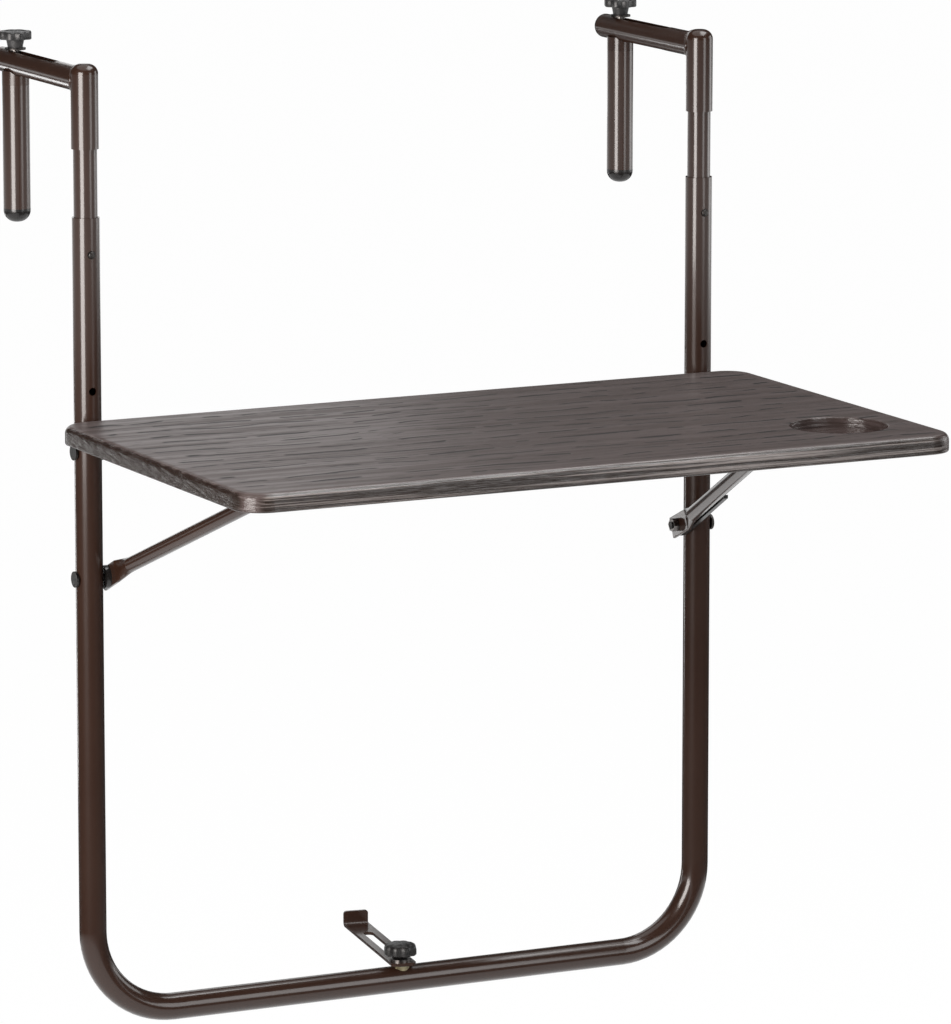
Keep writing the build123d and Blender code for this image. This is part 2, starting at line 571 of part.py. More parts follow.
# Support bail: a thin tube bent into a U, its ends pressed flat for the pivots
with BuildPart() as support_bail:
    bail_plane = Plane(origin=(0, 0, BAIL_Z), x_dir=(1, 0, 0), z_dir=(0, -FORWARD[2], FORWARD[1]))
    with BuildLine(bail_plane) as bail_path:
        FilletPolyline(
            (-BAIL_X, TUBE_START),
            (BAIL_INSET - BAIL_X, BAIL_LEN),
            (BAIL_X - BAIL_INSET, BAIL_LEN),
            (BAIL_X, TUBE_START),
            radius=BAIL_BEND,
        )
    bail_run = bail_path.wires()[0]
    with BuildSketch(Plane(origin=bail_run @ 0, z_dir=bail_run % 0)):
        Circle(BAIL_R)
        Circle(BAIL_R - BAIL_WALL, mode=Mode.SUBTRACT)
    sweep()
    for name, side in SIDES:
        lug_x = side * (LUG_OUT - LUG_T / 2)
        along = Plane(origin=(0, 0, BAIL_Z), x_dir=(1, 0, 0), z_dir=FORWARD)
        leg_dir = (-side * BAIL_INSET, LEG_RUN * FORWARD[1], LEG_RUN * FORWARD[2])
        leg_start = bail_plane.from_local_coords((side * BAIL_X, TUBE_START, 0))
        with BuildSketch(along.offset(LUG_FLAT)):
            with Locations((lug_x, 0)):
                RectangleRounded(LUG_T, LUG_W, LUG_T / 3)
        with BuildSketch(Plane(origin=leg_start, x_dir=along.y_dir, z_dir=leg_dir)):
            Circle(BAIL_R)
        loft()
        with BuildSketch(along.offset(-LUG_END)):
            with Locations((lug_x, 0)):
                RectangleRounded(LUG_T, LUG_W, LUG_T / 3)
        extrude(amount=LUG_END + LUG_FLAT)
        with BuildSketch(along.offset(-LUG_END)):
            with Locations((lug_x, 0)):
                Rectangle(LUG_SLIT, LUG_W - 2 * LUG_EDGE)
        extrude(amount=LUG_END + LUG_FLAT, mode=Mode.SUBTRACT)
        with Locations(across(lug_x, 0, BAIL_Z)):
            Cylinder(PIVOT_HOLE / 2, 2 * LUG_T, mode=Mode.SUBTRACT)
keep(support_bail, "support_bail")

# Black spacers between bail and posts
for name, side in SIDES:
    with BuildPart() as bail_spacer:
        with BuildSketch(across(side * LUG_OUT, 0, BAIL_Z)):
            Circle(SPACER_R)
            if name == "right":  # this one has a pointed tongue along the bail's leg
                Polygon(
                    (SPACER_R * FORWARD[2], -SPACER_R * FORWARD[1]),
                    (-SPACER_R * FORWARD[2], SPACER_R * FORWARD[1]),
                    (TONGUE_TIP * FORWARD[1], TONGUE_TIP * FORWARD[2]),
                    (TONGUE_TIP * FORWARD[1], TONGUE_TIP * FORWARD[2] + TONGUE_TIP_H),
                    align=None,
                )
            Circle(PIVOT_HOLE / 2, mode=Mode.SUBTRACT)
        extrude(amount=side * BAIL_SPACER)
    keep(bail_spacer, f"{name}_bail_spacer")

# Rivet nut in the bottom tube
with BuildPart() as rivet_nut:
    with Locations((0, 0, BASE_TOP_Z + RIVET_FLANGE)):
        Cylinder(RIVET_FLANGE_OD / 2, TUBE_R, align=HANGING)
    with Locations(across(0, 0, BASE_Z)):
        Cylinder(TUBE_R, 2 * TUBE_OD, mode=Mode.SUBTRACT)
    with Locations((0, 0, BASE_TOP_Z + RIVET_FLANGE)):
        Cylinder(RIVET_BARREL / 2, RIVET_DEPTH, align=HANGING)
        Cylinder(SCREW_D / 2, RIVET_DEPTH, align=HANGING, mode=Mode.SUBTRACT)
keep(rivet_nut, "rivet_nut")

# Spacer strap: slotted, with its end turned up against the railing
with BuildPart() as spacer_strap:
    with BuildSketch(Plane(origin=(0, 0, STRAP_Z), x_dir=STRAP_DIR, z_dir=STRAP_SIDE)):
        with BuildLine():
            FilletPolyline(
                (-STRAP_FRONT, 0),
                (STRAP_BACK, 0),
                (STRAP_BACK, FLANGE_H),
                radius=STRAP_BEND,
            )
            offset(amount=STRAP_T, side=Side.LEFT)
        make_face()
    extrude(amount=STRAP_W / 2, both=True)
    fillet(spacer_strap.edges().filter_by(Axis.Z).sort_by(Axis.Y)[:2], STRAP_CORNER)
    fillet(spacer_strap.edges().group_by(Axis.Z)[-1].sort_by(SortBy.LENGTH)[:2], FLANGE_CORNER)
    with BuildSketch(Plane(origin=(0, 0, STRAP_Z), x_dir=STRAP_SIDE, z_dir=(0, 0, 1))):
        with Locations((0, STRAP_SLOT / 2 - SLOT_W / 2)):
            SlotOverall(STRAP_SLOT, SLOT_W, rotation=90)
    extrude(amount=STRAP_T, mode=Mode.SUBTRACT)
keep(spacer_strap, "spacer_strap")

# Hand screw of the spacer, with a washer below and above the strap
washer("spacer_seat", 0, 0, SEAT_Z)
washer("spacer_washer", 0, 0, TOP_WASHER_Z)
knob("spacer_knob", 0, 0, TOP_WASHER_Z + WASHER_T, BASE_HEAD, BASE_STEM, BASE_SOFT)
stud("spacer_screw", 0, 0, TOP_WASHER_Z + WASHER_T, BASE_TOP_Z - RIVET_DEPTH)
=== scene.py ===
# %% [markdown]
# # A folding balcony table, dressed in Blender
# The table hangs on a railing by two hooks. Its tubes, screws and moulded top come from the
# engineering model with their true sizes, so the first step only loads them and keeps the size
# of the whole object; its lowest point later places the floor.

# %% Load the engineering model
import json
import math

import bpy
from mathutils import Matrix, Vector


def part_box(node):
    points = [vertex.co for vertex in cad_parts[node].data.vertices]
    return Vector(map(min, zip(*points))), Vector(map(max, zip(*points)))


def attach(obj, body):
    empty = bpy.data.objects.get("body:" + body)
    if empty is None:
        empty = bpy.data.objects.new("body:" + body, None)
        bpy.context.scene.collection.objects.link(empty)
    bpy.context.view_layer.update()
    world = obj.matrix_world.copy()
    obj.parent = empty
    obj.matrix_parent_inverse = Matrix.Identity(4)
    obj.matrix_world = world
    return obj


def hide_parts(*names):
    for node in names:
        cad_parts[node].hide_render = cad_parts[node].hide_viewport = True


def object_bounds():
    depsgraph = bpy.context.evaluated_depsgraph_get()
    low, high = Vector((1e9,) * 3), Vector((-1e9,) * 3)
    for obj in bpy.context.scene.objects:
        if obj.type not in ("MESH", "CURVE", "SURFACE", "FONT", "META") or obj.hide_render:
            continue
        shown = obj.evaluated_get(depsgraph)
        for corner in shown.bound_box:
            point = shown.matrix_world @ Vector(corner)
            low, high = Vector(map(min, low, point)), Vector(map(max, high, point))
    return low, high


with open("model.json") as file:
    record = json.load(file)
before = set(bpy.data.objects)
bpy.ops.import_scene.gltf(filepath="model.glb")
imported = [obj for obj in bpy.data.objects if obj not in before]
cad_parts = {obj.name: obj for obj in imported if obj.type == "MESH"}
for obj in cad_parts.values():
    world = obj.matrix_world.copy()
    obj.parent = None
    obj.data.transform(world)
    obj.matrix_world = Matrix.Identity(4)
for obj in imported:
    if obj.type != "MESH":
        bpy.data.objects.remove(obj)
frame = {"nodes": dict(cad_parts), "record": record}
nodes = frame["nodes"]
cad_low, cad_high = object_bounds()
scene = bpy.context.scene
SIDES = ("left", "right")

# %% [markdown]
# The photo was taken with a long lens from the left and a little above. The place, the direction
# and the lens were worked out by matching the posts, the table's edges and the bottom tube, so
# they are written down as plain numbers. A long lens keeps the posts nearly parallel.

# %% Camera at the photo's angle
CAMERA_PLACE = (-2.3999, -4.9836, 0.6521)
CAMERA_AZIMUTH = math.radians(26.356)
CAMERA_DIP = math.radians(10.35)
FOCAL_PIXELS = 6895.3
IMAGE_HEIGHT = 1024     # the picture's long side, which spans the sensor
SENSOR_WIDTH = 36.0
FAR_CLIP = 200.0

camera_data = bpy.data.cameras.new("camera")
camera_data.sensor_width = SENSOR_WIDTH
camera_data.lens = FOCAL_PIXELS * SENSOR_WIDTH / IMAGE_HEIGHT
camera_data.clip_end = FAR_CLIP
camera = bpy.data.objects.new("camera", camera_data)
scene.collection.objects.link(camera)
look = Vector((math.sin(CAMERA_AZIMUTH) * math.cos(CAMERA_DIP),
               math.cos(CAMERA_AZIMUTH) * math.cos(CAMERA_DIP),
               -math.sin(CAMERA_DIP)))
camera.location = CAMERA_PLACE
camera.rotation_euler = look.to_track_quat("-Z", "Y").to_euler()
scene.camera = camera
scene.view_settings.view_transform = "Standard"
print("lens", round(camera_data.lens, 1), "mm")

# %% [markdown]
# Materials are small networks of nodes. A few helpers keep them short to write: one feeds an
# input with a link or a fixed value, one does sums, and one stretches a value. The last helper
# uses the Light Path node, which tells apart the rays that come straight from the camera, those
# mirrored by gloss, those that went through glass and those that only carry light.

# %% Helpers for node networks


def feed(tree, value, socket):
    """Give a node's input a link from another socket, or a fixed value."""
    if isinstance(value, bpy.types.NodeSocket):
        tree.links.new(value, socket)
    else:
        socket.default_value = value


def math_node(tree, operation, *operands):
    """A math node whose operands are sockets or plain numbers; gives its output socket."""
    node = tree.nodes.new("ShaderNodeMath")
    node.operation = operation
    for index, operand in enumerate(operands):
        feed(tree, operand, node.inputs[index])
    return node.outputs[0]


def ramp(tree, value, low, high):
    """Stretch a value so that low becomes 0 and high becomes 1, with soft ends."""
    node = tree.nodes.new("ShaderNodeMapRange")
    node.interpolation_type = "SMOOTHSTEP"
    node.inputs["From Min"].default_value = low
    node.inputs["From Max"].default_value = high
    feed(tree, value, node.inputs["Value"])
    return node.outputs["Result"]


def white_rays(tree):
    """A value of 1 for rays that should meet white: the camera's, mirrored and transmitted ones."""
    rays = tree.nodes.new("ShaderNodeLightPath").outputs
    mirrored = math_node(tree, "MAXIMUM", rays["Is Glossy Ray"], rays["Is Transmission Ray"])
    return math_node(tree, "MAXIMUM", rays["Is Camera Ray"], mirrored)


print("helpers:", feed.__name__, math_node.__name__, ramp.__name__, white_rays.__name__)

# %% [markdown]
# A product photo on white needs a pale floor and large soft lamps. The table hangs on its railing,
# so the floor lies well below it. Floor and world are white to the camera and in reflections, but
# the light that they throw on the table stays at a plain level. A small share of the floor's
# colour is ordinary paper, so that it keeps a faint shadow.

# %% Floor and world
FLOOR_DROP = 0.8
FLOOR_SIZE = 120.0
PAPER = (0.93, 0.93, 0.93, 1.0)
PAPER_GLOW = 1.03
SHADOW_SHARE = 0.06
SKY = (1.0, 1.0, 1.0, 1.0)
WORLD_LIGHT = 0.36


def deselect_all():
    """Leave nothing selected, so that an operator touches only what comes next."""
    if bpy.context.mode != "OBJECT":
        bpy.ops.object.mode_set(mode="OBJECT")
    bpy.ops.object.select_all(action="DESELECT")


deselect_all()
bpy.ops.mesh.primitive_plane_add(size=FLOOR_SIZE, location=(0, 0, cad_low[2] - FLOOR_DROP))
floor = bpy.context.object
floor.name = "floor"
floor_paper = bpy.data.materials.new("floor_paper")
floor_paper.use_nodes = True
paper_tree = floor_paper.node_tree
paper_tree.nodes.clear()
paper_out = paper_tree.nodes.new("ShaderNodeOutputMaterial")
paper_mix = paper_tree.nodes.new("ShaderNodeMixShader")
paper_soft = paper_tree.nodes.new("ShaderNodeBsdfDiffuse")
paper_glow = paper_tree.nodes.new("ShaderNodeEmission")
paper_soft.inputs["Color"].default_value = PAPER
paper_glow.inputs["Strength"].default_value = PAPER_GLOW
paper_share = math_node(paper_tree, "MULTIPLY", white_rays(paper_tree), 1.0 - SHADOW_SHARE)
feed(paper_tree, paper_share, paper_mix.inputs["Fac"])
feed(paper_tree, paper_soft.outputs[0], paper_mix.inputs[1])
feed(paper_tree, paper_glow.outputs[0], paper_mix.inputs[2])
feed(paper_tree, paper_mix.outputs[0], paper_out.inputs["Surface"])
floor.data.materials.append(floor_paper)

world = bpy.data.worlds.new("studio")
world.use_nodes = True
scene.world = world
sky_tree = world.node_tree
sky = sky_tree.nodes["Background"]
sky.inputs["Color"].default_value = SKY
sky_white = math_node(sky_tree, "MULTIPLY", white_rays(sky_tree), 1.0 - WORLD_LIGHT)
feed(sky_tree, math_node(sky_tree, "ADD", sky_white, WORLD_LIGHT), sky.inputs["Strength"])
print("floor at", round(floor.location.z, 3))

# %% [markdown]
# Dark gloss needs something dark to mirror, or a white set turns brown paint into a grey veil. A
# photographer stands dark cards round such an object, outside the picture. Here one ring of card
# stands behind the lamps, with a pale band that only the upper tubes mirror, because in the photo
# they are lighter than the lower ones. Only mirrored rays meet the ring, so it takes no light from
# the table, throws no shadow and never shows by itself.

# %% Dark cards round the set
CARD_REACH = 2.9
CARD_TOP = 3.2
CARD_SIDES = 64
CARD_TONE = 0.04
BAND_TONE = 0.9
BAND_FOOT = (-0.71, -0.58)
BAND_HEAD = (-0.3, -0.4)

deselect_all()
card_height = CARD_TOP - floor.location.z
card_place = (0, 0, floor.location.z + card_height / 2)
bpy.ops.mesh.primitive_cylinder_add(vertices=CARD_SIDES, radius=CARD_REACH, depth=card_height,
                                    end_fill_type="NOTHING", location=card_place)
cards = bpy.context.object
cards.name = "dark_cards"
card_paper = bpy.data.materials.new("card_paper")
card_paper.use_nodes = True
card_tree = card_paper.node_tree
card_tree.nodes.clear()
card_out = card_tree.nodes.new("ShaderNodeOutputMaterial")
card_glow = card_tree.nodes.new("ShaderNodeEmission")
card_where = card_tree.nodes.new("ShaderNodeTexCoord")
card_split = card_tree.nodes.new("ShaderNodeSeparateXYZ")
feed(card_tree, card_where.outputs["Object"], card_split.inputs[0])
card_level = math_node(card_tree, "ADD", card_split.outputs["Z"], cards.location.z)
card_band = math_node(card_tree, "MULTIPLY", ramp(card_tree, card_level, *BAND_FOOT),
                      ramp(card_tree, card_level, *BAND_HEAD))
card_pale = math_node(card_tree, "MULTIPLY", card_band, BAND_TONE)
feed(card_tree, math_node(card_tree, "ADD", card_pale, CARD_TONE), card_glow.inputs["Strength"])
feed(card_tree, card_glow.outputs[0], card_out.inputs["Surface"])
cards.data.materials.append(card_paper)
cards.visible_camera = False
cards.visible_diffuse = False
cards.visible_shadow = False
cards.visible_transmission = False
print("cards reach up to", CARD_TOP)

# %% [markdown]
# A round tube shows a lamp as a long stripe, and the stripe is as wide as the lamp looks from the
# tube. The photo has one broad warm stripe left of the middle and a faint one to the right, so a
# large panel stands on the left, a weaker one in front and a third lights the right-hand sides.
# The camera looks down, so gloss on an upright tube looks down too: where a panel ends below, its
# stripe ends on the tube. A panel above lights the table top, and two small ones behind put a
# sheen on the top and on the bail.

# %% Lamps
AIM = (0.0, -0.1, -0.35)
WHITE = (1.0, 1.0, 1.0)
WARM = (1.0, 0.95, 0.92)
PANELS = {
    "left_panel": {"place": (-1.6, -0.95, 0.02), "width": 1.0, "height": 1.2, "watts": 48, "colour": WARM},
    "front_panel": {"place": (0.95, -2.25, 0.16), "width": 0.8, "height": 1.3, "watts": 12, "colour": WHITE},
    "right_panel": {"place": (2.2, -0.2, 0.1), "width": 1.0, "height": 1.2, "watts": 10, "colour": WHITE},
    "top_panel": {"place": (0.9, -0.5, 2.1), "width": 2.2, "height": 1.2, "watts": 44, "colour": WHITE},
    "back_panel": {"place": (0.34, 1.8, 0.15), "width": 1.0, "height": 0.9, "watts": 3.0, "colour": WHITE},
    "far_panel": {"place": (-0.64, 1.9, -0.78), "width": 0.25, "height": 0.4, "watts": 1.4, "colour": WHITE},
}


def soft_panel(name, place, width, height, watts, colour):
    """A rectangular soft lamp at place, turned towards the table."""
    lamp_data = bpy.data.lights.new(name, "AREA")
    lamp_data.shape = "RECTANGLE"
    lamp_data.size = width
    lamp_data.size_y = height
    lamp_data.energy = watts
    lamp_data.color = colour
    lamp = bpy.data.objects.new(name, lamp_data)
    scene.collection.objects.link(lamp)
    lamp.location = place
    way = Vector(AIM) - Vector(place)
    lamp.rotation_euler = way.to_track_quat("-Z", "Y").to_euler()
    lamp.visible_camera = False


for panel_name, panel in PANELS.items():
    soft_panel(panel_name, **panel)
print("lamps", list(PANELS))

# %% [markdown]
# Several finishes share the same small effects. Each effect is one node group with named inputs,
# built once and placed in every material that needs it with its own values. The groups only put
# out values; the shader itself stays in each material. The first group is the faint unevenness of
# paint or moulded plastic, together with a slow drift of tone.

# %% Uneven skin as a node group
SKIN_FINE_DETAIL = 2.0
SKIN_SLOW_DETAIL = 3.0


def new_group(name, sockets):
    """Make an empty node group with the given (direction, name, default) number sockets."""
    group = bpy.data.node_groups.new(name, "ShaderNodeTree")
    for direction, label, default in sockets:
        socket = group.interface.new_socket(name=label, in_out=direction, socket_type="NodeSocketFloat")
        if default is not None:
            socket.default_value = default
    ins = group.nodes.new("NodeGroupInput")
    outs = group.nodes.new("NodeGroupOutput")
    return group, ins, outs


skin, skin_in, skin_out = new_group("uneven_skin", [
    ("INPUT", "Grain per metre", 600.0),
    ("INPUT", "Drift per metre", 9.0),
    ("OUTPUT", "Height", None),
    ("OUTPUT", "Drift", None),
])
skin_where = skin.nodes.new("ShaderNodeTexCoord").outputs["Object"]
for skin_detail, skin_scale, skin_result in ((SKIN_FINE_DETAIL, "Grain per metre", "Height"),
                                             (SKIN_SLOW_DETAIL, "Drift per metre", "Drift")):
    skin_noise = skin.nodes.new("ShaderNodeTexNoise")
    skin_noise.inputs["Detail"].default_value = skin_detail
    feed(skin, skin_where, skin_noise.inputs["Vector"])
    feed(skin, skin_in.outputs[skin_scale], skin_noise.inputs["Scale"])
    feed(skin, skin_noise.outputs["Fac"], skin_out.inputs[skin_result])
print("node group", skin.name)

# %% [markdown]
# The second group is the wood pattern of the table top. Its first half finds out where a point
# lies: on the flat face, inside the plain border, on the rim, or on the end grain at the short
# sides. It works from the point's own place and from the edges that the material hands over.

# %% Wood emboss: face, rim and end grain
FACE_FADE = (-0.0012, -0.0002)
BORDER = (0.011, 0.017)
RIM_DEPTH = (0.001, 0.004)

wood, wood_in, wood_out = new_group("wood_emboss", [
    ("INPUT", "Face height", 0.0),
    ("INPUT", "Half width", 0.3),
    ("INPUT", "Front", -0.3),
    ("INPUT", "Back", 0.0),
    ("OUTPUT", "Dash", None),
    ("OUTPUT", "Streak", None),
    ("OUTPUT", "Fibre", None),
    ("OUTPUT", "Flat", None),
    ("OUTPUT", "Rim", None),
    ("OUTPUT", "End grain", None),
])
wood_where = wood.nodes.new("ShaderNodeTexCoord").outputs["Object"]
wood_split = wood.nodes.new("ShaderNodeSeparateXYZ")
feed(wood, wood_where, wood_split.inputs[0])
wood_below = math_node(wood, "SUBTRACT", wood_split.outputs["Z"], wood_in.outputs["Face height"])
wood_flat = ramp(wood, wood_below, *FACE_FADE)
wood_side = math_node(wood, "ABSOLUTE", wood_split.outputs["X"])
wood_from_end = math_node(wood, "SUBTRACT", wood_in.outputs["Half width"], wood_side)
wood_from_front = math_node(wood, "SUBTRACT", wood_split.outputs["Y"], wood_in.outputs["Front"])
wood_from_back = math_node(wood, "SUBTRACT", wood_in.outputs["Back"], wood_split.outputs["Y"])
wood_field = wood_flat
wood_inner = 1.0
for wood_inside in (wood_from_end, wood_from_front, wood_from_back):
    wood_field = math_node(wood, "MULTIPLY", wood_field, ramp(wood, wood_inside, *BORDER))
    wood_inner = math_node(wood, "MULTIPLY", wood_inner, ramp(wood, wood_inside, *RIM_DEPTH))
feed(wood, wood_flat, wood_out.inputs["Flat"])
feed(wood, math_node(wood, "SUBTRACT", 1.0, wood_inner), wood_out.inputs["Rim"])
feed(wood, ramp(wood, wood_from_end, *reversed(RIM_DEPTH)), wood_out.inputs["End grain"])
print("node group", wood.name, "with", len(wood_out.inputs) - 1, "outputs")

# %% [markdown]
# The second half draws the pattern. Wavy rows of strokes run along the long side and are broken
# into dashes by a noise that opens and shuts. A bold set and a fine set lie over each other.
# Streaks and fibres are noise stretched along the same way.

# %% Wood emboss: dashes, streaks and fibres
NOISE_ROUGHNESS = 0.55
WAVE = {"stretch": (7.0, 14.0, 1.0), "detail": 2.0}
STREAK = {"stretch": (4.0, 75.0, 420.0), "detail": 4.0}
FIBRE = {"stretch": (60.0, 700.0, 900.0), "detail": 3.0}
WAVE_REACH = 1.9
GATE_DETAIL = 1.0
BOLD_ROWS = {"rows_per_metre": 44.0, "thickness": (0.12, 0.04),
             "gate_stretch": (40.0, 50.0, 1.0), "gate": (0.43, 0.51)}
FINE_ROWS = {"rows_per_metre": 97.0, "thickness": (0.13, 0.05),
             "gate_stretch": (55.0, 100.0, 1.0), "gate": (0.49, 0.6)}
FINE_SHARE = 0.55


def stretched_noise(tree, coords, stretch, detail):
    """Noise on object coordinates in metres, stretched by a per-axis scale."""
    mapping = tree.nodes.new("ShaderNodeMapping")
    mapping.inputs["Scale"].default_value = stretch
    feed(tree, coords, mapping.inputs["Vector"])
    noise = tree.nodes.new("ShaderNodeTexNoise")
    noise.inputs["Scale"].default_value = 1.0
    noise.inputs["Detail"].default_value = detail
    noise.inputs["Roughness"].default_value = NOISE_ROUGHNESS
    feed(tree, mapping.outputs[0], noise.inputs["Vector"])
    return noise.outputs["Fac"]


def wood_dashes(wave, rows_per_metre, thickness, gate_stretch, gate):
    """Wavy rows of strokes along X, broken into dashes by a noise that opens and shuts."""
    rows = math_node(wood, "MULTIPLY_ADD", wood_split.outputs["Y"], rows_per_metre, wave)
    stroke = ramp(wood, math_node(wood, "PINGPONG", rows, 0.5), *thickness)
    opened = ramp(wood, stretched_noise(wood, wood_where, gate_stretch, GATE_DETAIL), *gate)
    return math_node(wood, "MULTIPLY", stroke, opened)


wood_wave = math_node(wood, "MULTIPLY", stretched_noise(wood, wood_where, **WAVE), WAVE_REACH)
wood_fine = math_node(wood, "MULTIPLY", wood_dashes(wood_wave, **FINE_ROWS), FINE_SHARE)
wood_dash = math_node(wood, "MAXIMUM", wood_dashes(wood_wave, **BOLD_ROWS), wood_fine)
feed(wood, math_node(wood, "MULTIPLY", wood_dash, wood_field), wood_out.inputs["Dash"])
feed(wood, stretched_noise(wood, wood_where, **STREAK), wood_out.inputs["Streak"])
feed(wood, stretched_noise(wood, wood_where, **FIBRE), wood_out.inputs["Fibre"])
print("node group", wood.name, "with", len(wood.nodes), "nodes")

# %% [markdown]
# The tubes are coated with a glossy dark brown powder paint. Powder paint flows a little as it
# melts, so its gloss is slightly rippled like the skin of an orange. A clear coat on the
# Principled shader gives the sharp highlights, and the ripple goes in as a very low bump.

# %% Frame paint
BROWN_DEEP = (0.022, 0.0088, 0.005, 1.0)
BROWN_WARM = (0.031, 0.0145, 0.009, 1.0)
PAINT_SKIN = {"Grain per metre": 420.0, "Drift per metre": 14.0}
PAINT_ROUGH = (0.3, 0.4)
PAINT_SPECULAR = 0.16
PAINT_COAT = 0.9
PAINT_COAT_ROUGH = 0.14
PAINT_RELIEF = 0.00006


def new_material(name):
    """A material with one Principled shader; gives the material, its tree and the shader."""
    material = bpy.data.materials.new(name)
    material.use_nodes = True
    tree = material.node_tree
    return material, tree, tree.nodes["Principled BSDF"]


def place_group(tree, group, values):
    """Put a node group into a material and set its inputs; gives its outputs."""
    node = tree.nodes.new("ShaderNodeGroup")
    node.node_tree = group
    for label, value in values.items():
        node.inputs[label].default_value = value
    return node.outputs


def blend(tree, factor, first, second, kind="RGBA"):
    """Mix two colours, or two numbers if kind is FLOAT; gives the output socket."""
    node = tree.nodes.new("ShaderNodeMix")
    node.data_type = kind
    feed(tree, factor, node.inputs["Factor"])
    feed(tree, first, node.inputs["A"])
    feed(tree, second, node.inputs["B"])
    return node.outputs["Result"]


def span(tree, value, low, high):
    """Map a 0 to 1 value onto low to high."""
    node = tree.nodes.new("ShaderNodeMapRange")
    node.inputs["To Min"].default_value = low
    node.inputs["To Max"].default_value = high
    feed(tree, value, node.inputs["Value"])
    return node.outputs["Result"]


def bump(tree, height, distance, shader):
    """Feed a height into the shader's normal, in metres of relief."""
    node = tree.nodes.new("ShaderNodeBump")
    node.inputs["Distance"].default_value = distance
    feed(tree, height, node.inputs["Height"])
    feed(tree, node.outputs["Normal"], shader.inputs["Normal"])


paint, paint_tree, paint_shader = new_material("brown_powder_paint")
paint_skin = place_group(paint_tree, skin, PAINT_SKIN)
paint_colour = blend(paint_tree, paint_skin["Drift"], BROWN_DEEP, BROWN_WARM)
feed(paint_tree, paint_colour, paint_shader.inputs["Base Color"])
feed(paint_tree, span(paint_tree, paint_skin["Drift"], *PAINT_ROUGH), paint_shader.inputs["Roughness"])
paint_shader.inputs["Specular IOR Level"].default_value = PAINT_SPECULAR
paint_shader.inputs["Coat Weight"].default_value = PAINT_COAT
paint_shader.inputs["Coat Roughness"].default_value = PAINT_COAT_ROUGH
bump(paint_tree, paint_skin["Height"], PAINT_RELIEF, paint_shader)
print("material", paint.name)

# %% [markdown]
# The table top is injection-moulded in a grey brown plastic. The mould is engraved like sawn
# wood: short dashes follow the long side, with fine fibres between them. The dashes are painted
# near black, partly their own darker grain and partly painted shade in the sunk grooves. The
# streaks run over the rim too; on the long edges their pale lines are a painted highlight, and on
# the short ends, the end grain, that painted highlight is left almost out. Its colour is worked out
# first: face, dashes, then rim.

# %% Table plastic: colour
TOP_PALE = (0.074, 0.0545, 0.052, 1.0)
TOP_DEEP = (0.05, 0.0352, 0.0318, 1.0)
# Near black: the dashes' own darker grain, plus painted shade in the sunk grooves.
TOP_DASH_GRAIN_AND_SHADE = (0.0065, 0.005, 0.0046, 1.0)
TONE_EDGES = (0.32, 0.68)
RIM_DEEP = (0.017, 0.0108, 0.0082, 1.0)
# Pale rim lines: a painted highlight on the grain streaks of the rim.
RIM_STREAK_HIGHLIGHT = (0.145, 0.121, 0.111, 1.0)
RIM_LINES = (0.49, 0.62)
# Share of the painted highlight lines that is left on the short ends.
END_HIGHLIGHT_SHARE = 0.07

plastic, plastic_tree, plastic_shader = new_material("wood_grain_plastic")
top_low, top_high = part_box("table_top")
grain = place_group(plastic_tree, wood, {"Face height": top_high[2], "Half width": top_high[0],
                                         "Front": top_low[1], "Back": top_high[1]})
face_tone = ramp(plastic_tree, grain["Streak"], *TONE_EDGES)
face_colour = blend(plastic_tree, face_tone, TOP_DEEP, TOP_PALE)
# The dashes darken the face: grain colour plus painted shade.
face_colour = blend(plastic_tree, grain["Dash"], face_colour, TOP_DASH_GRAIN_AND_SHADE)
# Painted highlight lines on the rim, almost left out on the short ends; they also carry the rim's clear
# coat.
rim_highlight_share = span(plastic_tree, grain["End grain"], 1.0, END_HIGHLIGHT_SHARE)
rim_highlight_lines = math_node(plastic_tree, "MULTIPLY", ramp(plastic_tree, grain["Streak"], *RIM_LINES), rim_highlight_share)
rim_colour = blend(plastic_tree, rim_highlight_lines, RIM_DEEP, RIM_STREAK_HIGHLIGHT)
plastic_colour = blend(plastic_tree, grain["Rim"], face_colour, rim_colour)
feed(plastic_tree, plastic_colour, plastic_shader.inputs["Base Color"])
print("material", plastic.name)

# %% [markdown]
# Gloss and relief come next. The rim is shinier than the face. A rough clear coat lies on the pale
# streaks and leaves out the dashes, which are sunk into the surface.

# %% Table plastic: gloss and relief
RIM_ROUGH = (0.13, 0.24)
FACE_ROUGH = (0.5, 0.64)
FACE_SHEEN = (0.15, 0.6)
TOP_COAT_ROUGH = 0.36
DASH_HEIGHT = -0.7
FIBRE_HEIGHT = 0.18
STREAK_HEIGHT = 1.6
TOP_RELIEF = 0.0008

rim_rough = span(plastic_tree, grain["Fibre"], *RIM_ROUGH)
face_rough = span(plastic_tree, grain["Fibre"], *FACE_ROUGH)
plastic_rough = blend(plastic_tree, grain["Flat"], rim_rough, face_rough, kind="FLOAT")
feed(plastic_tree, plastic_rough, plastic_shader.inputs["Roughness"])
dash_left = math_node(plastic_tree, "SUBTRACT", 1.0, grain["Dash"])
face_sheen = math_node(plastic_tree, "MULTIPLY", span(plastic_tree, face_tone, *FACE_SHEEN), dash_left)
face_sheen = math_node(plastic_tree, "MULTIPLY", face_sheen, grain["Flat"])
rim_sheen = math_node(plastic_tree, "MULTIPLY", rim_highlight_lines, grain["Rim"])
plastic_sheen = math_node(plastic_tree, "MAXIMUM", face_sheen, rim_sheen)
feed(plastic_tree, plastic_sheen, plastic_shader.inputs["Coat Weight"])
plastic_shader.inputs["Coat Roughness"].default_value = TOP_COAT_ROUGH
plastic_height = math_node(plastic_tree, "MULTIPLY", grain["Dash"], DASH_HEIGHT)
plastic_height = math_node(plastic_tree, "MULTIPLY_ADD", grain["Fibre"], FIBRE_HEIGHT, plastic_height)
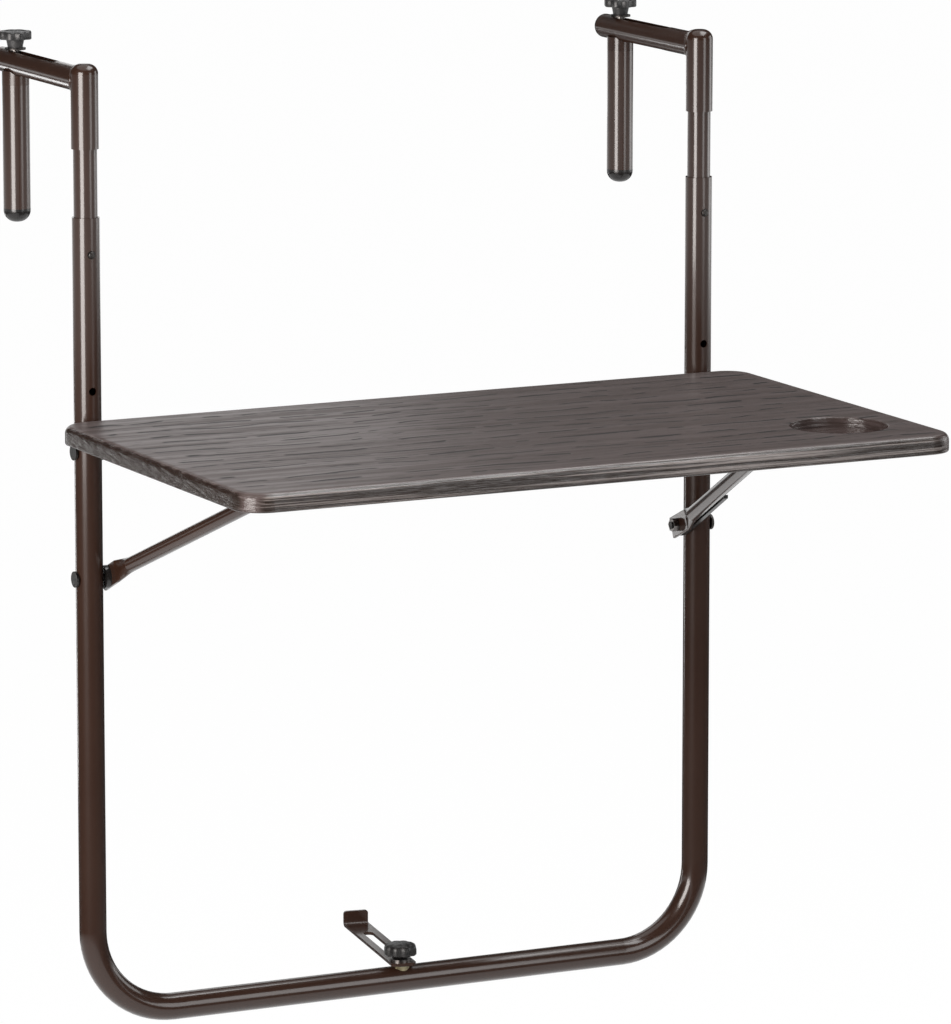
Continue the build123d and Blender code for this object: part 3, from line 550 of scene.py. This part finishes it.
plastic_height = math_node(plastic_tree, "MULTIPLY_ADD", grain["Streak"], STREAK_HEIGHT, plastic_height)
bump(plastic_tree, plastic_height, TOP_RELIEF, plastic_shader)
print("relief up to", TOP_RELIEF * STREAK_HEIGHT, "m")

# %% [markdown]
# Knobs and catches are black plastic with a fine spark-eroded grain, and caps and spacers are
# smoother. The saddles are moulded in the brown of the tubes. Bolts, washers and nuts are plated
# steel, darker where the plating is thin.

# %% Moulded plastics and plated steel
DRIFT_EDGES = (0.3, 0.7)
BLACK = ((0.015, 0.015, 0.0155, 1.0), (0.034, 0.0335, 0.034, 1.0))
GLOSS = ((0.006, 0.0055, 0.0055, 1.0), (0.013, 0.012, 0.0115, 1.0))
BROWN = (BROWN_DEEP, BROWN_WARM)
STEEL = ((0.13, 0.12, 0.115, 1.0), (0.3, 0.285, 0.275, 1.0))
DARK_STEEL = ((0.03, 0.028, 0.027, 1.0), (0.075, 0.071, 0.068, 1.0))
ZINC = ((0.2, 0.17, 0.1, 1.0), (0.42, 0.37, 0.24, 1.0))


def skin_finish(name, tones, roughness, grain, drift, relief, metallic=0.0):
    """A finish from the skin group: two tones and two roughness values drift over the surface."""
    material, tree, shader = new_material(name)
    surface = place_group(tree, skin, {"Grain per metre": grain, "Drift per metre": drift})
    tone = ramp(tree, surface["Drift"], *DRIFT_EDGES)
    feed(tree, blend(tree, tone, *tones), shader.inputs["Base Color"])
    feed(tree, span(tree, tone, *roughness), shader.inputs["Roughness"])
    shader.inputs["Metallic"].default_value = metallic
    bump(tree, surface["Height"], relief, shader)
    return material


black = skin_finish("black_grained_plastic", BLACK, roughness=(0.28, 0.42), grain=2600.0, drift=60.0,
                    relief=0.00012)
gloss_black = skin_finish("black_gloss_plastic", GLOSS, roughness=(0.16, 0.28), grain=900.0, drift=40.0,
                          relief=0.00004)
deep_black = skin_finish("black_crown_plastic", GLOSS, roughness=(0.32, 0.44), grain=2600.0, drift=60.0,
                         relief=0.0001)
brown = skin_finish("brown_gloss_plastic", BROWN, roughness=(0.16, 0.28), grain=900.0, drift=40.0,
                    relief=0.00004)
steel = skin_finish("plated_steel", STEEL, roughness=(0.24, 0.42), grain=1800.0, drift=120.0,
                    relief=0.00005, metallic=1.0)
dark_steel = skin_finish("blackened_steel", DARK_STEEL, roughness=(0.34, 0.5), grain=1800.0, drift=140.0,
                         relief=0.00005, metallic=1.0)
zinc = skin_finish("yellow_zinc", ZINC, roughness=(0.28, 0.46), grain=1500.0, drift=160.0,
                   relief=0.00005, metallic=1.0)
skin_finishes = (black, gloss_black, deep_black, brown, steel, dark_steel, zinc)
print("materials", [finish.name for finish in skin_finishes])

# %% [markdown]
# The engineering model already says which finish each piece has, so every piece gets its material
# by that list. A few pieces then get a closer match to the photo, such as darker bolts and
# smoother caps.

# %% Finishes on the loaded pieces
FINISH = {"frame_paint": paint, "table_plastic": plastic, "black_plastic": black, "bolt_steel": steel}
SIDE_FINISH = {"clamp_washer": dark_steel, "hinge_bolt": dark_steel, "bail_bolt": dark_steel,
               "snap_button": dark_steel, "leg_cap": gloss_black, "arm_plug": gloss_black,
               "bail_spacer": gloss_black, "leg_saddle": brown}

for entry in frame["record"]["subparts"]:
    piece = nodes[entry["node"]]
    piece.data.materials.clear()
    piece.data.materials.append(FINISH[entry["material_slot"]])
nodes["rivet_nut"].data.materials[0] = zinc
for side in SIDES:
    for part, finish in SIDE_FINISH.items():
        nodes[f"{side}_{part}"].data.materials[0] = finish

# %% [markdown]
# The hand knobs are moulded with eight finger flutes. A fluted outline is a circle whose points
# are drawn in here and there, so it starts as a circle primitive. Its points are picked by their
# number, pulled towards the axis, and the outline is then extruded ring by ring. Each ring may be
# narrower than the one below it, which rounds the shoulder and raises or dishes the crown.

# %% A builder for fluted knobs
FLUTES = 8
FLUTE_PULL = (0.0, 0.0, 0.25, 0.72, 1.0, 0.72, 0.25, 0.0)
POINTS_PER_FLUTE = len(FLUTE_PULL)
STEM_FOOT = 0.006
STEM_NECK = 0.0075
STEM_SINK = 0.0005
STEM_SIDES = 48
KNOB_EDGE = math.radians(38)
MERGE_REACH = 0.000005


def pick(piece, wanted):
    """In edit mode, select the points for whose number wanted(index) is true."""
    bpy.ops.object.mode_set(mode="OBJECT")
    for polygon in piece.data.polygons:
        polygon.select = False
    for edge in piece.data.edges:
        edge.select = False
    for vertex in piece.data.vertices:
        vertex.select = wanted(vertex.index)
    bpy.ops.object.mode_set(mode="EDIT")


def settle(piece, edge_angle):
    """Merge doubles, turn faces outwards, move the origin to the frame's own and shade smooth."""
    bpy.ops.object.mode_set(mode="EDIT")
    bpy.ops.mesh.select_all(action="SELECT")
    bpy.ops.mesh.remove_doubles(threshold=MERGE_REACH)
    bpy.ops.mesh.normals_make_consistent(inside=False)
    bpy.ops.object.mode_set(mode="OBJECT")
    bpy.ops.object.transform_apply(location=True, rotation=True, scale=True)
    bpy.ops.object.shade_smooth_by_angle(angle=edge_angle)


def fluted_knob(name, node, body, finish, head, flute_depth, rings):
    """A knob in the place of a node: rings are (share of the head's height, share of its radius)."""
    low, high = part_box(node)
    centre = ((low[0] + high[0]) / 2, (low[1] + high[1]) / 2, high[2] - head)
    radius = (high[0] - low[0]) / 2
    deselect_all()
    bpy.ops.mesh.primitive_circle_add(vertices=FLUTES * POINTS_PER_FLUTE, radius=radius,
                                      fill_type="NGON", location=centre)
    piece = bpy.context.object
    piece.name = name
    bpy.ops.object.mode_set(mode="EDIT")
    bpy.ops.mesh.select_mode(type="VERT")
    for phase, pull in enumerate(FLUTE_PULL):
        if pull:
            pick(piece, lambda index: index % POINTS_PER_FLUTE == phase)
            share = 1.0 - pull * flute_depth / radius
            bpy.ops.transform.resize(value=(share, share, 1.0), center_override=centre)
    bpy.ops.mesh.select_all(action="SELECT")
    height, width = rings[0]
    bpy.ops.transform.resize(value=(width, width, 1.0), center_override=centre)
    for next_height, next_width in rings[1:]:
        bpy.ops.mesh.extrude_region_move(
            TRANSFORM_OT_translate={"value": (0, 0, (next_height - height) * head)})
        share = next_width / width
        bpy.ops.transform.resize(value=(share, share, 1.0), center_override=centre)
        height, width = next_height, next_width
    stem = high[2] - low[2] - head + STEM_SINK
    bpy.ops.mesh.primitive_cone_add(vertices=STEM_SIDES, radius1=STEM_FOOT, radius2=STEM_NECK, depth=stem,
                                    location=(centre[0], centre[1], low[2] + stem / 2))
    bpy.ops.mesh.select_all(action="DESELECT")
    bpy.ops.object.mode_set(mode="OBJECT")
    settle(piece, KNOB_EDGE)
    piece.data.materials.append(finish)
    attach(piece, body)
    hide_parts(node)
    return piece


print("a flute every", 360 / FLUTES, "degrees")

# %% [markdown]
# The two knobs on the hooks are flat, with a soft shoulder and a shallow dish on top. The one on
# the bottom tube is deeper and has a rounded crown.

# %% The three hand knobs
FLAT_HEAD = 0.0065
FLAT_FLUTE = 0.0017
FLAT_RINGS = ((0.0, 0.96), (0.1, 1.0), (0.76, 1.0), (0.9, 0.975), (0.98, 0.93), (1.0, 0.87), (1.0, 0.7),
              (0.93, 0.62), (0.92, 0.3), (0.95, 0.26), (0.95, 0.02))
CROWN_HEAD = 0.01
CROWN_FLUTE = 0.0015
CROWN_RINGS = ((0.0, 0.93), (0.1, 1.0), (0.5, 1.0), (0.68, 0.97), (0.82, 0.9), (0.92, 0.77), (0.97, 0.6),
               (1.0, 0.36), (1.0, 0.02))

for side in SIDES:
    fluted_knob(f"{side}_hook_handwheel", f"{side}_clamp_knob", f"{side}_knob", black,
                FLAT_HEAD, FLAT_FLUTE, FLAT_RINGS)
base_wheel = fluted_knob("bottom_handwheel", "spacer_knob", "spacer_hand", deep_black,
                         CROWN_HEAD, CROWN_FLUTE, CROWN_RINGS)
print("bottom knob faces", len(base_wheel.data.polygons))

# %% [markdown]
# Each arm is welded to its sleeve. A hand weld leaves a row of small overlapping ripples, one for
# each dab of the torch. A ring is added round the arm, every second rib of it is swollen, and each
# rib is then moved back until it lies in the corner between the two tubes.

# %% Weld beads
WELD_RIBS = 64
WELD_SIDES = 10
WELD_RING = 0.0104
WELD_WIRE = 0.0015
WELD_SWELL = 1.2
WELD_EDGE = math.radians(60)
SLEEVE_RADIUS = 0.011


def weld_bead(side):
    """A rippled bead where the arm meets the sleeve."""
    node = f"{side}_hook_weld"
    low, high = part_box(node)
    centre = ((low[0] + high[0]) / 2, 0.0, (low[2] + high[2]) / 2)
    deselect_all()
    bpy.ops.mesh.primitive_torus_add(location=centre, rotation=(math.pi / 2, 0, 0), major_radius=WELD_RING,
                                     minor_radius=WELD_WIRE, major_segments=WELD_RIBS,
                                     minor_segments=WELD_SIDES)
    piece = bpy.context.object
    piece.name = f"{side}_weld_bead"
    bpy.ops.object.transform_apply(location=True, rotation=True, scale=True)
    for rib in range(WELD_RIBS):
        ring = range(rib * WELD_SIDES, (rib + 1) * WELD_SIDES)
        middle = sum((piece.data.vertices[index].co for index in ring), Vector()) / WELD_SIDES
        pick(piece, lambda index: index in ring)
        if rib % 2:
            swell = (WELD_SWELL, WELD_SWELL, WELD_SWELL)
            bpy.ops.transform.resize(value=swell, center_override=middle)
        reach = math.sqrt(SLEEVE_RADIUS ** 2 - (middle.x - centre[0]) ** 2)
        bpy.ops.transform.translate(value=(0, reach, 0))
    settle(piece, WELD_EDGE)
    piece.data.materials.append(paint)
    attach(piece, f"{side}_hook")
    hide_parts(node)
    return piece


for side in SIDES:
    bead = weld_bead(side)
    print(bead.name, len(bead.data.polygons), "faces")
